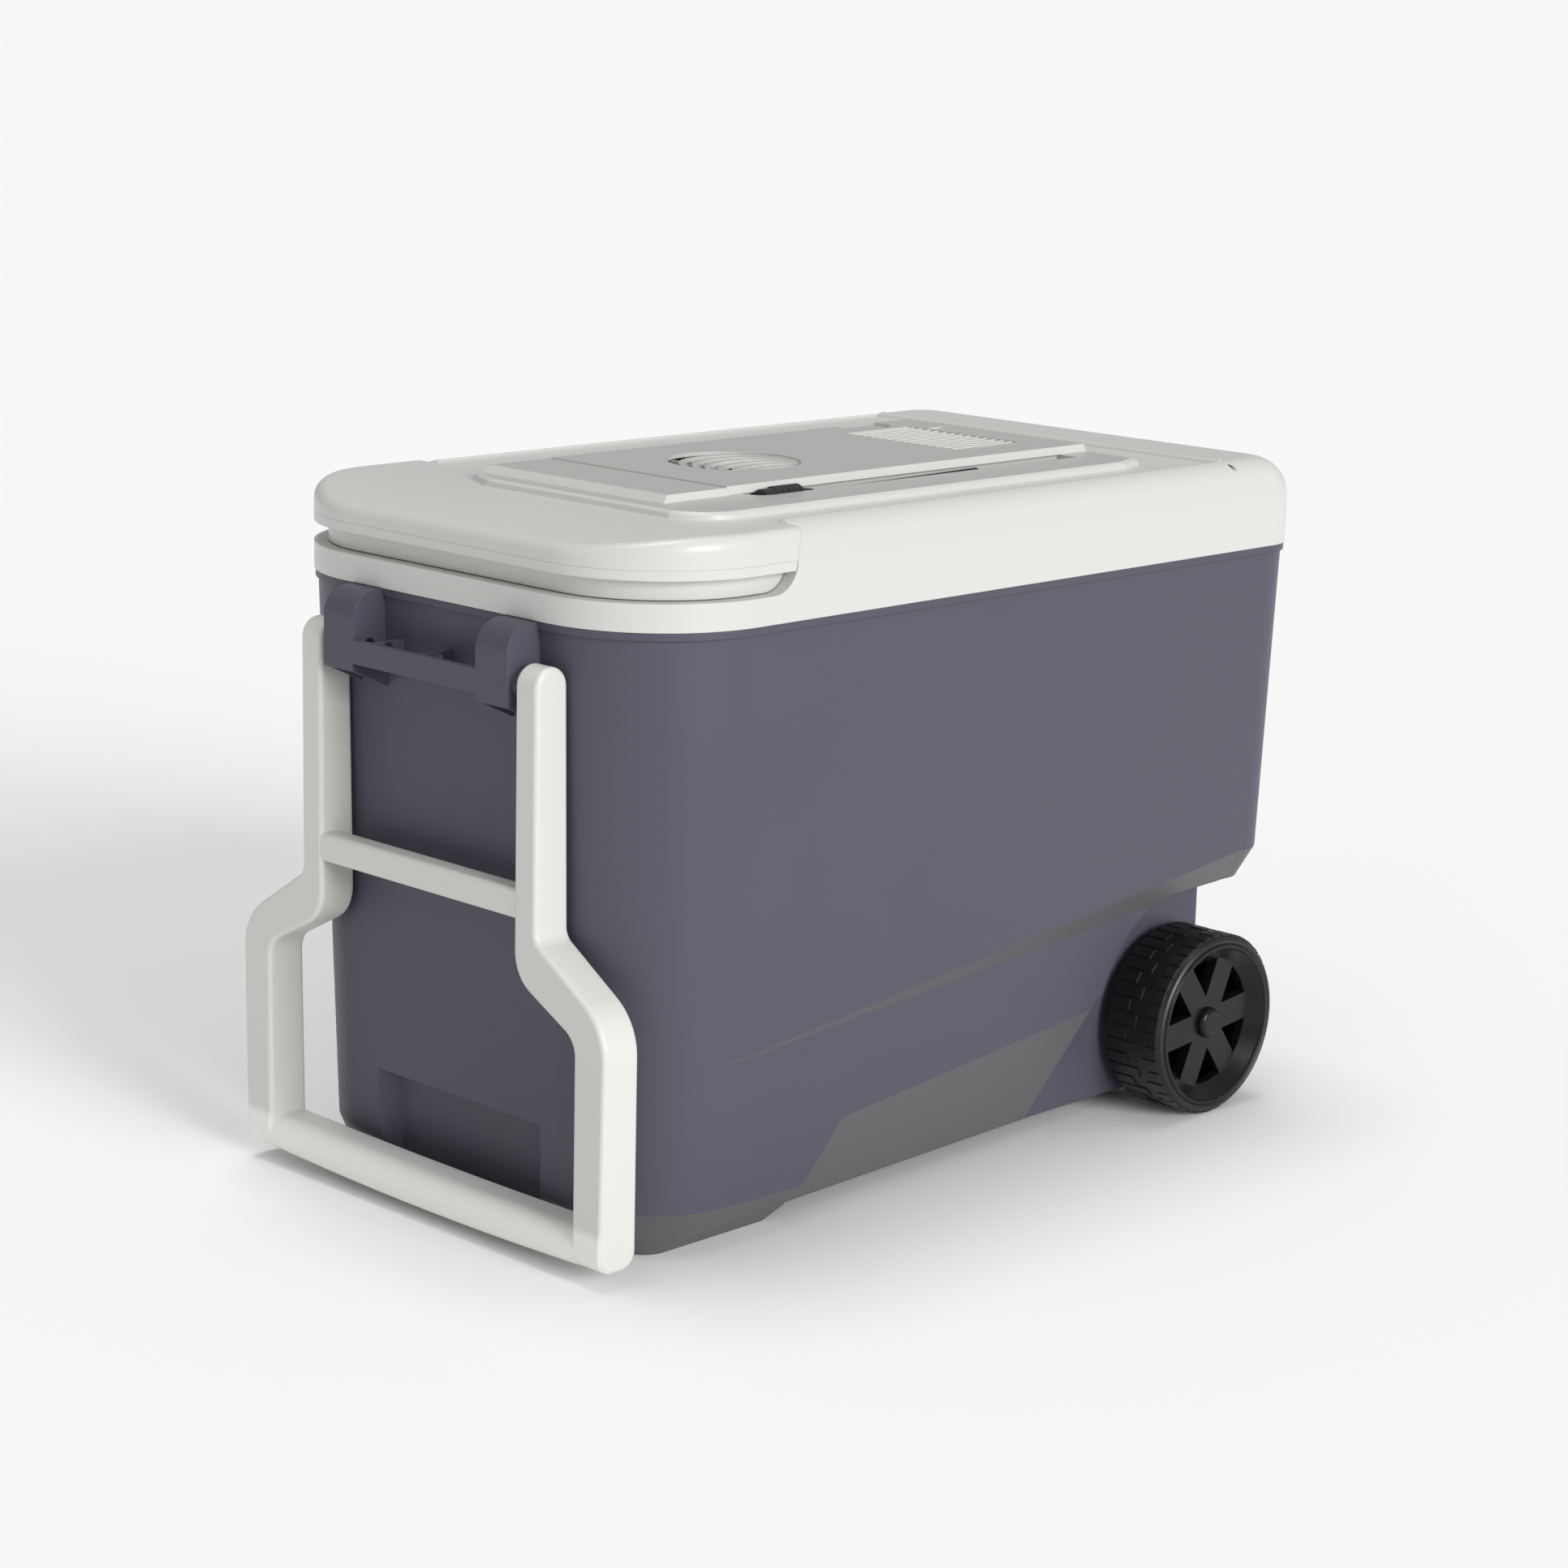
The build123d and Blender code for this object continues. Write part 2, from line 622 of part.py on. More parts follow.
with BuildPart() as vent_cover:
    tier((cover_front, cover_back), cover_half, (deck_z, cover_z), 0, 3)
    block((cover_front + 6, cover_back - 8), (5.5 - cover_half, cover_half - 5.5),
          (deck_z, cover_z - cover_skin), Mode.SUBTRACT)
    post(unit_x, 0, (deck_z - 1, cover_z + 1), grille_radius, Mode.SUBTRACT)
    block((louvre_front, louvre_back), (-louvre_half, louvre_half), (deck_z, cover_z + 1), Mode.SUBTRACT)
    # round grille: curved slats over a ring and spokes
    with BuildSketch(Plane.XY.offset(cover_z - 3.2)):
        for step in range(1, slat_count):
            with BuildLine():
                CenterArc((unit_x, -step * slat_pitch), grille_radius - 1, 5, 170)
            trace(line_width=3.4)
        with Locations((unit_x, 0)):
            Circle(grille_radius + 0.5, mode=Mode.INTERSECT)
    extrude(amount=2.6)
    with Locations((unit_x, 0, deck_z + 1.2)):
        with PolarLocations(25, 16):
            Box(38, 1.6, 1.8)
        Cylinder(7, 1.8)
    # louvre: slanted slats side by side
    pitch = 2 * louvre_half / louvre_count
    for step in range(louvre_count):
        y = -louvre_half + (step + 0.5) * pitch
        middle = ((louvre_front + louvre_back) / 2, y, cover_z - 2.2)
        with Locations(Location(middle, (-38, 0, 0))):
            Box(louvre_back - louvre_front + 1, 5.2, 1.3)
    # shallow ramp behind the louvre, and a finger notch in the far edge
    with BuildSketch(Plane.XZ.offset(-38)):
        with BuildLine():
            Polyline((louvre_back + 3, cover_z - 1.9), (louvre_back + 3, cover_z + 1),
                     (cover_back - 6, cover_z + 1), (cover_back - 6, cover_z), close=True)
        make_face()
    extrude(amount=95, mode=Mode.SUBTRACT)
    with BuildSketch(Plane.XY.offset(cover_z - 1.8)):
        with Locations((tub_x + 131, 78)):
            RectangleRounded(38, 40, 12)
    extrude(amount=5, mode=Mode.SUBTRACT)
finish("vent_cover", vent_cover.part)

# ---------------------------------------------------------------- cooling unit, warm side
sink_floor = duct_floor + 4
sink_top = duct_floor + 20
fan_top = sink_top + 15
fan_screw_places = [(unit_x + a * 36, b * 36) for a in (-1, 1) for b in (-1, 1)]


def fan_frame(size, bore, low, high, boss, shaft):
    """Square fan frame with a round duct, four struts and a bearing boss low in it."""
    middle = (unit_x, 0, (low + high) / 2)
    with Locations(middle):
        Box(size, size, high - low)
        Cylinder(bore, high - low, mode=Mode.SUBTRACT)
    with Locations((unit_x, 0, low + 0.8)):
        with PolarLocations(bore / 2 + 1, 4, start_angle=45):
            Box(bore, 3, 1.6)
        Cylinder(boss, 1.6)
        Cylinder(shaft + running, 2, mode=Mode.SUBTRACT)


def fan_rotor(hub, sweep, low, high, blades, shaft, shaft_low):
    """Fan hub with tilted blades on a short shaft that points down."""
    height = high - low
    post(unit_x, 0, (low, high), hub)
    post(unit_x, 0, (shaft_low, low + 1), shaft)
    with Locations((unit_x, 0, (low + high) / 2)):
        with PolarLocations((hub + sweep) / 2 - 0.5, blades):
            with Locations(Location((0, 0, 0), (34, 0, 0))):
                Box(sweep - hub + 1, 1.5, height)


with BuildPart() as hot_heat_sink:
    block((unit_x - 62, unit_x + 114), (-42, 42), (duct_floor, sink_floor))
    for step in range(17):
        y = -40 + 5.0 * step
        block((unit_x - 62, unit_x + 114), (y - 0.6, y + 0.6), (sink_floor, sink_top))
    for x, y in fan_screw_places:
        post(x, y, (duct_floor + 1, sink_top), 3)
        post(x, y, (duct_floor + 2, sink_top + 1), 1.5, Mode.SUBTRACT)
finish("hot_heat_sink", hot_heat_sink.part)

with BuildPart() as hot_fan_frame:
    fan_frame(80, 38, sink_top, fan_top, 15, 1.5)
    for x, y in fan_screw_places:
        post(x, y, (sink_top, fan_top), 1.5, Mode.SUBTRACT)
finish("hot_fan_frame", hot_fan_frame.part)

with BuildPart() as hot_fan_rotor:
    fan_rotor(14, 36.5, sink_top + 2.6, fan_top - 0.5, 7, 1.5, sink_top + 0.4)
finish("hot_fan_rotor", hot_fan_rotor.part)

with BuildPart() as fan_screws:
    for x, y in fan_screw_places:
        post(x, y, (duct_floor + 2, fan_top), 1.5)
        post(x, y, (fan_top, fan_top + 1.8), 2.8)
finish("fan_screws", fan_screws.part)

with BuildPart() as peltier_module:
    block((unit_x - 20, unit_x + 20), (-20, 20), (duct_floor - 4, duct_floor))
finish("peltier_module", peltier_module.part)

# ---------------------------------------------------------------- cooling unit, cold side
cold_floor = plug_z - 4
cold_fins = plug_z - 16
cold_fan_low = cold_fins - 10
tray_floor = 356.0

with BuildPart() as cold_block:
    block((unit_x - 22, unit_x + 22), (-22, 22), (plug_z, duct_floor - 4))
finish("cold_block", cold_block.part)

with BuildPart() as cold_heat_sink:
    block((unit_x - 45, unit_x + 45), (-35, 35), (cold_floor, plug_z))
    for step in range(14):
        y = -32.5 + 5.0 * step
        block((unit_x - 45, unit_x + 45), (y - 0.6, y + 0.6), (cold_fins, cold_floor))
finish("cold_heat_sink", cold_heat_sink.part)

with BuildPart() as cold_fan_frame:
    fan_frame(60, 28, cold_fan_low, cold_fins, 11, 1)
finish("cold_fan_frame", cold_fan_frame.part)

with BuildPart() as cold_fan_rotor:
    fan_rotor(10, 26.5, cold_fan_low + 2.3, cold_fins - 0.6, 7, 1, cold_fan_low + 0.3)
finish("cold_fan_rotor", cold_fan_rotor.part)

with BuildPart() as cold_fan_cover:
    block((unit_x - 60, unit_x + 60), (-50, 50), (tray_floor, plug_z))
    fillet(edges().filter_by(Axis.Z), 8)
    fillet(edges().group_by(Axis.Z)[0], 4)
    block((unit_x - 58, unit_x + 58), (-48, 48), (tray_floor + 2, plug_z), Mode.SUBTRACT)
    for x, y in tray_screw_places:
        post(x, y, (tray_floor, plug_z), 4.8)
        post(x, y, (tray_floor, tray_floor + 3), 3, Mode.SUBTRACT)
        post(x, y, (tray_floor, plug_z), 1.5, Mode.SUBTRACT)
    # slots under the fan, and along the two long sides where the air comes out
    with BuildSketch(Plane.XY.offset(tray_floor - 1)):
        with GridLocations(0, 8, 1, 7):
            with Locations((unit_x, 0)):
                SlotOverall(54, 4.5)
    extrude(amount=4, mode=Mode.SUBTRACT)
    with BuildSketch(Plane.XZ.offset(-60)):
        with GridLocations(11, 0, 8, 1):
            with Locations((unit_x, cold_fins + 4)):
                SlotOverall(14, 5, rotation=90)
    extrude(amount=120, mode=Mode.SUBTRACT)
finish("cold_fan_cover", cold_fan_cover.part)

with BuildPart() as tray_screws:
    for x, y in tray_screw_places:
        post(x, y, (tray_floor + 3, plug_z + 5), 1.5)
        post(x, y, (tray_floor + 1.2, tray_floor + 3), 2.8)
finish("tray_screws", tray_screws.part)

# ---------------------------------------------------------------- lead
def lane(step):
    """Where one of the lead's lanes lies across the channel."""
    return lane_y + step * lane_pitch


def lead_loop(step):
    """Corners of one long loop: along the floor, up, back above it and over to the next lane."""
    y = lane(step)
    return [
        (lane_back, y, lane_low),
        (lane_front, y, lane_low),
        (lane_front, y, lane_high),
        (lane_back - 40, y, lane_high),
        (lane_back - 15, y + lane_pitch, lane_high),
        (lane_back, y + lane_pitch, lane_high),
    ]


lead_points = [
    (channel_back + 2, gland_y, gland_z),
    (channel_back - 9, gland_y, gland_z),
    (lane_back + 4, lane(0), lane_low),
]
lead_points += lead_loop(0)[1:] + lead_loop(1) + lead_loop(2)
lead_points += [
    (lane_back, lane(3), lane_low),
    (lane_front, lane(3), lane_low),
    (lane_front, lane(3), lane_high),
    (tub_x, lane(3), lane_high),
]
plug_tail_x = tub_x - 85.0

with BuildLine() as lead_path:
    loops = FilletPolyline(*lead_points, radius=7.9)
    FilletPolyline(
        loops @ 1,
        (lane_back - 50, lane(3), lane_high),
        (lane_back - 50, lane(3), plug_axis_z),
        (plug_tail_x + 25, plug_axis_y, plug_axis_z),
        (plug_tail_x, plug_axis_y, plug_axis_z),
        radius=4.9,
    )

with BuildPart() as power_cord:
    with BuildSketch(Plane(origin=lead_path.line @ 0, z_dir=lead_path.line % 0)) as section:
        Circle(cord_radius)
    sweep(section.sketch, path=lead_path.line)
finish("power_cord", power_cord.part)

with BuildPart() as lead_gland:
    bolt((channel_back - 5, channel_back + 2), gland_y, gland_z, 3.5)
    bolt((channel_back - 2, channel_back), gland_y, gland_z, 4.6)
    bolt((channel_back - 6, channel_back + 3), gland_y, gland_z, cord_radius, Mode.SUBTRACT)
finish("lead_gland", lead_gland.part)

with BuildPart() as power_plug:
    bolt((plug_tail_x - 37, plug_tail_x - 13), plug_axis_y, plug_axis_z, plug_radius)
    chamfer(edges().filter_by(GeomType.CIRCLE), 1)
    bolt((plug_tail_x - 45.5, plug_tail_x - 36.5), plug_axis_y, plug_axis_z, 6.5)
    bolt((plug_tail_x - 47, plug_tail_x - 45), plug_axis_y, plug_axis_z, 2.5)
    with Locations((plug_tail_x - 6.5, plug_axis_y, plug_axis_z)):
        Cone(5, 3, 13, rotation=(0, 90, 0))
    for step in range(4):
        x = plug_tail_x - 32 + 5 * step
        with Locations(Plane(origin=(x, plug_axis_y, plug_axis_z), z_dir=(1, 0, 0))):
            Torus(plug_radius, 0.7, mode=Mode.SUBTRACT)
finish("power_plug", power_plug.part)

# ---------------------------------------------------------------- carry bracket
def lobe(inset, low):
    """Side outline of one of the bracket's two lobes, or of the hollow in it."""
    front, top = bracket_x + inset, lobe_top - inset
    bend = lobe_round - inset
    with BuildSketch(Plane.XZ) as side:
        with BuildLine():
            path = FilletPolyline((front, low), (front, top), (handle_x + 20, top), radius=bend)
            Polyline(path @ 1, (handle_x + 20, low - lobe_slope), (front, low))
        make_face()
    return side.sketch


lobe_wall = 2.8
with BuildPart() as carry_bracket:
    for side in (-1, 1):
        middle = side * (lobe_inner + lobe_outer) / 2
        width = lobe_outer - lobe_inner
        with Locations((0, middle, 0)):
            add(extrude(lobe(0, lobe_bottom), amount=width / 2, both=True, mode=Mode.PRIVATE))
            add(
                extrude(lobe(lobe_wall, lobe_bottom - 4), amount=width / 2 - lobe_wall, both=True,
                        mode=Mode.PRIVATE),
                mode=Mode.SUBTRACT,
            )
        cheeks = sorted((middle - side * width / 2, middle + side * width / 2))
        block((handle_x - 8, handle_x + 20), cheeks, (359.5, lobe_top - 1))
        rod(pivot_x, pivot_z, sorted((side * (lobe_outer - lobe_wall), side * (leg_inner - 0.3))), 9)
    block((bracket_x, bracket_x + lobe_wall), (-lobe_inner, lobe_inner), (bar_low, bar_high))
    for y in (-5, 40):
        block((bracket_x, handle_x + 20), (y - 1.2, y + 1.2), (bar_low, bar_high))
    rod(pivot_x, pivot_z, (-leg_inner, leg_inner), handle_pin_radius, Mode.SUBTRACT)
    tub_hull(bevel_height, body_top, 0, Mode.SUBTRACT)
    bead(Mode.SUBTRACT)
    for y, z in bracket_screw_places:
        bolt((bracket_x + lobe_wall + 1, handle_x + 20), y, z, bracket_hole_radius, Mode.SUBTRACT)
finish("carry_bracket", carry_bracket.part)

with BuildPart() as bracket_screws:
    for y, z in bracket_screw_places:
        face = handle_x - 8
        bolt((face, boss_end - 1.5), y, z, bracket_screw_radius)
        bolt((face - 2.2, face), y, z, 3.6)
finish("bracket_screws", bracket_screws.part)

with BuildPart() as handle_pins:
    for side in (-1, 1):
        cheek = lobe_outer - lobe_wall
        rod(pivot_x, pivot_z, sorted((side * cheek, side * (leg_inner + 13.6))), handle_pin_radius)
        rod(pivot_x, pivot_z, sorted((side * (cheek - 3), side * cheek)), 8)
finish("handle_pins", handle_pins.part)

# ---------------------------------------------------------------- pull handle
crossbar_low, crossbar_high, crossbar_depth = 211.0, 229.0, 15.0
grip_low, grip_high, grip_sag = 9.5, 32.0, 3.5
grip_half = 143.1             # half the clear width of the grip
leg_top = pivot_z + handle_round


def handle_back(z):
    """Where the handle's back lies at height z."""
    return pivot_x + handle_round * sqrt(1 + handle_lean ** 2) + handle_lean * (pivot_z - z)


def handle_legs():
    """The two stepped legs seen from the handle's end."""
    with BuildSketch(Plane.YZ) as face:
        for side in (-1, 1):
            with BuildLine():
                outside = FilletPolyline((side * leg_outer, leg_top + 5), (side * leg_outer, 200.7),
                                         (side * 170.5, 161), (side * 168, 0), radius=(10, 38))
                inside = FilletPolyline((side * grip_half, 0), (side * grip_half, 148),
                                        (side * leg_inner, 175.9), (side * leg_inner, leg_top + 5),
                                        radius=(16, 26))
                Line(outside @ 1, inside @ 0)
                Line(inside @ 1, outside @ 0)
            make_face()
    return face.sketch


def handle_side():
    """The handle seen from its side, round at the hinge and at the floor."""
    turn = atan(handle_lean)
    with BuildSketch(Plane.XZ) as side:
        with BuildLine():
            crown = ThreePointArc(
                (handle_front, pivot_z),
                (pivot_x, leg_top),
                (pivot_x + handle_round * cos(turn), pivot_z + handle_round * sin(turn)),
            )
            FilletPolyline(crown @ 1, (handle_back(grip_low), grip_low), (handle_front, grip_low), crown @ 0,
                           radius=11)
        make_face()
    return side.sketch


def grip_section(y, sag):
    """The grip's cross-section, with a broad round on its top outer edge."""
    back = handle_back(grip_low)
    low, high = grip_low - sag, grip_high - sag / 2
    with BuildSketch(Plane.XZ.offset(-y)) as section:
        with BuildLine():
            FilletPolyline((handle_front, low), (handle_front, high), (back, high), (back, low),
                           radius=(10, 12, 4, 10), close=True)
        make_face()
    return section.sketch


with BuildPart() as pull_handle:
    add(extrude(handle_legs(), amount=full, both=True, mode=Mode.PRIVATE))
    extrude(handle_side(), amount=full, both=True, mode=Mode.INTERSECT)
    fillet(edges().filter_by(lambda edge: edge.bounding_box().size.Z > 5), 3)
    ends = grip_half + 4
    loft([grip_section(-ends, 0), grip_section(0, grip_sag), grip_section(ends, 0)])
    with BuildSketch(Plane.XZ) as crossbar:
        with Locations((handle_front + 0.4 + crossbar_depth / 2, (crossbar_low + crossbar_high) / 2)):
            RectangleRounded(crossbar_depth, crossbar_high - crossbar_low, 3)
    extrude(crossbar.sketch, amount=leg_inner + 5, both=True)
    for side in (-1, 1):
        reach = sorted((side * (leg_inner - 1), side * (leg_inner + 14)))
        rod(pivot_x, pivot_z, reach, handle_pin_radius + running, Mode.SUBTRACT)
finish("pull_handle", pull_handle.part)

# ---------------------------------------------------------------- axle and wheels
with BuildPart() as axle:
    rod(axle_x, axle_z, (-183.5, 183.5), axle_radius)
finish("axle", axle.part)

with BuildPart() as axle_washers:
    for side in (-1, 1):
        rod(axle_x, axle_z, sorted((side * core_half, side * (wheel_inner - 0.6))), 12)
        rod(axle_x, axle_z, sorted((side * core_half, side * wheel_inner)), axle_radius, Mode.SUBTRACT)
finish("axle_washers", axle_washers.part)

nut_depth = 33.5              # from the wheel's inner face
hub_depth = 38.0
with BuildPart() as push_nuts:
    for side in (-1, 1):
        inner = side * (wheel_inner + nut_depth)
        rod(axle_x, axle_z, sorted((inner, inner + side * 2)), 8.5)
        rod(axle_x, axle_z, sorted((inner - side, inner + side * 3)), axle_radius, Mode.SUBTRACT)
finish("push_nuts", push_nuts.part)

wheel_plane = Plane(origin=(axle_x, -wheel_inner, axle_z), x_dir=(1, 0, 0), z_dir=(0, -1, 0))
rim_radius = 56.3
spoke_angle, spoke_width = 6.0, 18.5


def ring(profile):
    """Turn a profile of radius and depth pairs round the near wheel's centre line."""
    with BuildSketch(Plane(origin=wheel_plane.origin, x_dir=(1, 0, 0), z_dir=(0, 0, 1))) as half:
        with BuildLine():
            Polyline(*[(radius, -depth) for radius, depth in profile], close=True)
        make_face()
    revolve(half.sketch, axis=Axis(wheel_plane.origin, (0, 1, 0)))


def wheel_disc(radius, low, high, mode=Mode.ADD):
    """A disc about the near wheel's centre line between two depths."""
    rod(axle_x, axle_z, (-wheel_inner - high, -wheel_inner - low), radius, mode)


with BuildPart() as rim:
    ring([(51.5, 0), (rim_radius, 0), (rim_radius, 46), (55.2, 47), (53.4, 47), (52.4, 45.6),
          (43.5, 37), (43.5, 30), (51.5, 25)])
    wheel_disc(11, 0, 31)
    wheel_disc(18, 31, hub_depth)
    with BuildSketch(wheel_plane.offset(30)):
        with PolarLocations(30, 6, start_angle=spoke_angle):
            Rectangle(40, spoke_width)
    extrude(amount=8)
    # ribs behind the spokes
    with BuildSketch(wheel_plane.offset(4)):
        with PolarLocations(31, 6, start_angle=spoke_angle):
            Rectangle(43, 3)
    extrude(amount=27)
    wheel_disc(axle_radius + running, -1, nut_depth, Mode.SUBTRACT)
    wheel_disc(9, nut_depth - 0.3, hub_depth, Mode.SUBTRACT)

with BuildPart() as tyre:
    ring([(rim_radius, 0), (60, 0), (61.6, 3), (61.6, 42.5), (60, 46), (58.4, 47), (rim_radius, 46)])
    # tread blocks, long and short by turns at both shoulders
    for depth, length, start in ((31, 24, 0), (35, 16, 9), (1.5, 16, 0), (1.5, 24, 9)):
        with BuildSketch(wheel_plane.offset(depth)) as blocks:
            with PolarLocations(61, 20, start_angle=start):
                Rectangle(3, 8)
            Circle(wheel_radius, mode=Mode.INTERSECT)
            Circle(61, mode=Mode.SUBTRACT)
        extrude(blocks.sketch, amount=min(length, 43.5 - depth))

with BuildPart() as cap:
    wheel_disc(9, 36.8, hub_depth)
    wheel_disc(10.5, hub_depth, hub_depth + 5)
    fillet(edges().group_by(Axis.Y)[0], 3.5)

for node, wheel_part in (("wheel_rim", rim.part), ("wheel_tyre", tyre.part), ("hub_cap", cap.part)):
    finish(f"{node}_near", wheel_part)
    finish(f"{node}_far", mirror(wheel_part, about=Plane.XZ))
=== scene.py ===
import math

import bpy
from mathutils import Matrix, Vector

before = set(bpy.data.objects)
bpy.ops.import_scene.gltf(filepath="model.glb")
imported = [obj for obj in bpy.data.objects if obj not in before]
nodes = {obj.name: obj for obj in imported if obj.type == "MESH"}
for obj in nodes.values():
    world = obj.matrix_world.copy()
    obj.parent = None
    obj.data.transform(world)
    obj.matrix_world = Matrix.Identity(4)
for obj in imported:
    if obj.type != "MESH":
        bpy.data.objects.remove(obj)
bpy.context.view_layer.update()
scene = bpy.context.scene


# ---------------------------------------------------------------- materials
# Heights in metres and leans (parts of a unit normal) between which a second tone fades in: painted
# floor-bounce light on faces that lean down, painted shade on the lid's raised upward-facing tops, and
# painted floor light on the handle's low front faces.
painted_bounce_lean = (-0.09, -0.26)
painted_top_shade_height = (0.4425, 0.4440)
painted_top_shade_level = (0.93, 0.99)
painted_grip_light_height = (0.037, 0.031)
painted_grip_light_front = (-0.8, -0.4)

cloud_scale = 14.0
rough_spread = 0.03
grain_size = 0.0006
grain_depth = 0.00004
edge_samples = 6


def shader(material, kind, place, **inputs):
    """A new node in the material, with its unlinked inputs set."""
    node = material.node_tree.nodes.new(kind)
    node.location = place
    for name, value in inputs.items():
        node.inputs[name.replace("_", " ")].default_value = value
    return node


def share_of(material, output, axis, span):
    """How far one axis of the piece's own position or normal has gone along a span."""
    tree = material.node_tree
    source = shader(material, "ShaderNodeTexCoord", (-1100, 500))
    split = shader(material, "ShaderNodeSeparateXYZ", (-900, 500))
    tree.links.new(source.outputs[output], split.inputs["Vector"])
    share = shader(material, "ShaderNodeMapRange", (-700, 500), From_Min=span[0], From_Max=span[1])
    tree.links.new(split.outputs[axis], share.inputs["Value"])
    return share.outputs["Result"]


def both(material, first, second):
    """The product of two shares."""
    product = shader(material, "ShaderNodeMath", (-300, 600))
    product.operation = "MULTIPLY"
    material.node_tree.links.new(first, product.inputs[0])
    material.node_tree.links.new(second, product.inputs[1])
    return product.outputs["Value"]


def blend(material, tone, other, share):
    """The tone, giving way to another colour by a share."""
    mix = shader(material, "ShaderNodeMix", (-100, 400))
    mix.data_type = "RGBA"
    mix.inputs["B"].default_value = (*other, 1)
    material.node_tree.links.new(share, mix.inputs["Factor"])
    material.node_tree.links.new(tone, mix.inputs["A"])
    return mix.outputs["Result"]


def plastic(name, color, rough, grain, mottle=0.04, edge=0.0, metal=0.0, shine=0.5,
            painted_bounce=None, painted_top_shade=None, painted_grip_light=None):
    """A moulded or metal surface: slight mottling, a fine grain and softly caught edges.

    The last three arguments are painted light and shade: a paler, warmer tone painted on faces that lean
    down as light bounced up from the floor, a darker tone painted as shade on the lid's raised,
    upward-facing tops, and a paler tone painted as floor light on the low part of the handle's cross-bar.
    """
    material = bpy.data.materials.new(name)
    material.use_nodes = True
    tree = material.node_tree
    surface = tree.nodes["Principled BSDF"]
    surface.inputs["Metallic"].default_value = metal
    surface.inputs["Specular IOR Level"].default_value = shine
    place = shader(material, "ShaderNodeTexCoord", (-1100, 0))
    cloud = shader(material, "ShaderNodeTexNoise", (-900, 200), Scale=cloud_scale, Detail=3.0)
    tree.links.new(place.outputs["Object"], cloud.inputs["Vector"])
    shade = shader(material, "ShaderNodeMapRange", (-700, 300), To_Min=1 - mottle, To_Max=1 + mottle)
    tree.links.new(cloud.outputs["Fac"], shade.inputs["Value"])
    tint = shader(material, "ShaderNodeVectorMath", (-500, 300))
    tint.operation = "SCALE"
    tint.inputs[0].default_value = color
    tree.links.new(shade.outputs["Result"], tint.inputs["Scale"])
    tone = tint.outputs["Vector"]
    # A paler, warmer tone painted on faces that lean down: painted light standing in for light bounced up
    # from the floor.
    if painted_bounce:
        tone = blend(material, tone, painted_bounce, share_of(material, "Normal", "Z", painted_bounce_lean))
    # A darker tone painted on the lid's raised, upward-facing tops: painted shade.
    if painted_top_shade:
        raised = share_of(material, "Object", "Z", painted_top_shade_height)
        level = share_of(material, "Normal", "Z", painted_top_shade_level)
        tone = blend(material, tone, painted_top_shade, both(material, raised, level))
    # A paler tone painted on the handle's low cross-bar faces: painted light standing in for floor light.
    if painted_grip_light:
        low = share_of(material, "Object", "Z", painted_grip_light_height)
        front = share_of(material, "Normal", "Y", painted_grip_light_front)
        tone = blend(material, tone, painted_grip_light, both(material, low, front))
    tree.links.new(tone, surface.inputs["Base Color"])
    dullest = rough + rough_spread
    matt = shader(material, "ShaderNodeMapRange", (-700, 0), To_Min=rough - rough_spread, To_Max=dullest)
    tree.links.new(cloud.outputs["Fac"], matt.inputs["Value"])
    tree.links.new(matt.outputs["Result"], surface.inputs["Roughness"])
    speck = shader(material, "ShaderNodeTexNoise", (-900, -300), Scale=1 / grain_size, Detail=2.0)
    tree.links.new(place.outputs["Object"], speck.inputs["Vector"])
    bump = shader(material, "ShaderNodeBump", (-500, -300), Strength=grain, Distance=grain_depth)
    tree.links.new(speck.outputs["Fac"], bump.inputs["Height"])
    tree.links.new(bump.outputs["Normal"], surface.inputs["Normal"])
    if edge:
        soft = shader(material, "ShaderNodeBevel", (-700, -400), Radius=edge)
        soft.samples = edge_samples
        tree.links.new(soft.outputs["Normal"], bump.inputs["Normal"])
    return material


# The body's paler, warmer tone on faces that lean down is painted light: light bounced up from the floor.
body_plastic = plastic("body_plastic", (0.0745, 0.0738, 0.1005), 0.44, grain=0.35, edge=0.0012, shine=0.32,
                       painted_bounce=(0.108, 0.101, 0.110))
# The trim's darker tone on the lid's raised, upward-facing tops is painted shade.
trim_plastic = plastic("trim_plastic", (0.60, 0.592, 0.573), 0.34, grain=0.12, mottle=0.01, edge=0.0008,
                       painted_top_shade=(0.45, 0.442, 0.427))
# The handle's paler tone on its low cross-bar is painted light: floor light.
handle_plastic = plastic("handle_plastic", (0.65, 0.638, 0.605), 0.42, grain=0.2, mottle=0.012, edge=0.0006,
                         painted_grip_light=(0.86, 0.845, 0.81))
wheel_plastic = plastic("wheel_plastic", (0.009, 0.0085, 0.009), 0.24, grain=0.15, edge=0.0006, shine=0.25)
tread_plastic = plastic("tread_plastic", (0.009, 0.008, 0.008), 0.42, grain=0.5, edge=0.0005)
black_plastic = plastic("black_plastic", (0.018, 0.018, 0.02), 0.38, grain=0.2)
liner_plastic = plastic("liner_plastic", (0.70, 0.70, 0.69), 0.38, grain=0.1, mottle=0.01)
foam_look = plastic("foam_look", (0.74, 0.66, 0.42), 0.9, grain=0.6)
seal_look = plastic("seal_look", (0.09, 0.09, 0.095), 0.6, grain=0.2)
fin_look = plastic("fin_look", (0.72, 0.72, 0.73), 0.35, grain=0.1, metal=1.0)
steel_look = plastic("steel_look", (0.52, 0.52, 0.53), 0.28, grain=0.1, metal=1.0)
cord_look = plastic("cord_look", (0.016, 0.016, 0.017), 0.45, grain=0.3)

